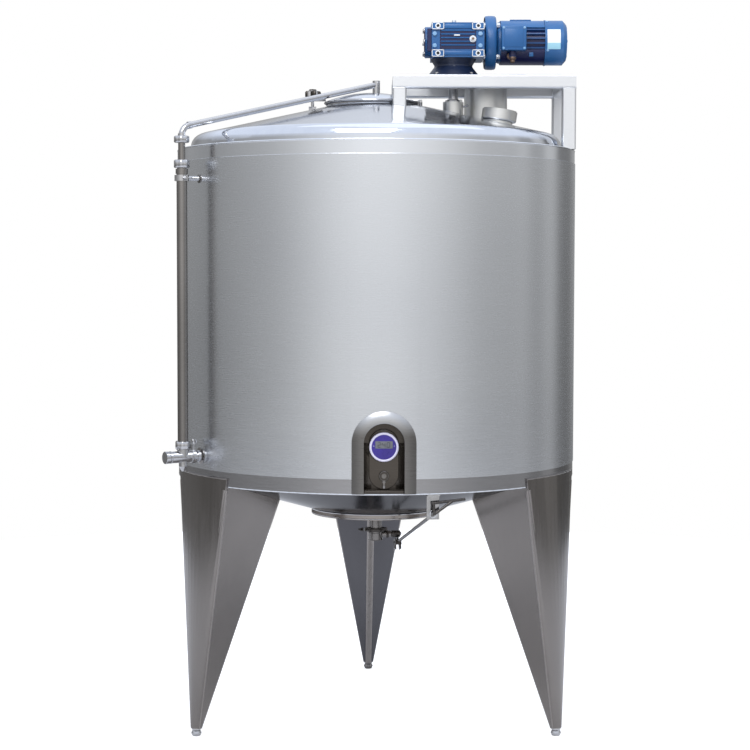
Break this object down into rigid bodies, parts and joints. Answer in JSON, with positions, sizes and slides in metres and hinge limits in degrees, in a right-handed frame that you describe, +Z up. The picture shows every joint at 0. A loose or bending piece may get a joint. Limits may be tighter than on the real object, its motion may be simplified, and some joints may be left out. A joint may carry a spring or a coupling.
{
  "type": "insulated water storage tank",
  "caption": "Upright insulated stainless steel storage tank on three folded legs, with a worm gear drive on its roof, a spray pipe, a thermometer pocket and a pull-rod bottom valve.",
  "frame": {"origin": "on the floor under the tank's axis", "axes": "+Z up along the tank; the thermometer pocket and the pull rod face -Y; the drive is towards +X"},
  "size_m": [1.5099, 1.5314, 2.657],
  "materials": {
    "satin_cladding": "satin brushed",
    "band_sheet": "satin",
    "polished_steel": "mirror polished",
    "leg_sheet": "satin",
    "foot_rubber": "matt",
    "stand_tube": "fine satin",
    "dark_casting": "semi-gloss",
    "blue_paint": "semi-gloss",
    "dark_steel": "polished",
    "dial_plastic": "gloss",
    "fitting_steel": "polished"
  },
  "bodies": {
    "tank": {"outer_wall": "satin_cladding", "inner_vessel": "polished_steel", "top_band": "band_sheet", "bottom_band": "band_sheet", "roof_cone": "polished_steel", "bottom_cone": "polished_steel", "bottom_sump": "polished_steel", "leg_left": "leg_sheet", "leg_right": "leg_sheet", "leg_back": "leg_sheet", "foot_left": "foot_rubber", "foot_right": "foot_rubber", "foot_back": "foot_rubber", "post_front_left": "stand_tube", "post_front_right": "stand_tube", "post_back_left": "stand_tube", "post_back_right": "stand_tube", "beam_front": "stand_tube", "beam_back": "stand_tube", "rail_left": "stand_tube", "rail_right": "stand_tube", "deck_plate": "stand_tube", "gear_foot": "dark_casting", "gear_housing": "blue_paint", "motor_flange": "blue_paint", "motor_body": "blue_paint", "terminal_box": "blue_paint", "fan_cowl": "blue_paint", "seal_housing": "fitting_steel", "vent_nozzle": "fitting_steel", "capped_nozzle": "fitting_steel", "manway_collar": "dark_steel", "manway_lid": "polished_steel", "lid_clamp": "fitting_steel", "riser_pipe": "fitting_steel", "roof_pipe": "fitting_steel", "pipe_clamp": "fitting_steel", "lower_tee": "fitting_steel", "pocket_frame": "dark_steel", "pocket_liner": "dark_steel", "dial_case": "dial_plastic", "sample_knob": "fitting_steel", "outlet_pipe": "fitting_steel", "outlet_clamp": "fitting_steel", "valve_body": "fitting_steel", "rod_bracket": "fitting_steel"},
    "drive_shaft": {"output_shaft": "fitting_steel"},
    "valve_lever": {"valve_lever": "fitting_steel"},
    "pull_rod": {"pull_rod": "fitting_steel"}
  },
  "joints": [
    {"name": "shaft_turn", "type": "hinge", "parent": "tank", "child": "drive_shaft", "pos_m": [0.291, 0, 2.36], "axis": [0, 0, 1], "continuous": true},
    {"name": "rod_slide", "type": "slide", "parent": "tank", "child": "pull_rod", "axis": [0.1458, -0.953, 0.2656], "range_m": [0, 0.063]},
    {"name": "lever_turn", "type": "hinge", "parent": "tank", "child": "valve_lever", "pos_m": [0.05931, 0.00908, 0.68453], "axis": [-0.9885, -0.1513, 0], "range_deg": [0, 90.5]}
  ],
  "couplings": [
    {"joint": "lever_turn", "follows": "rod_slide", "rad_per_m": 24.777}
  ]
}
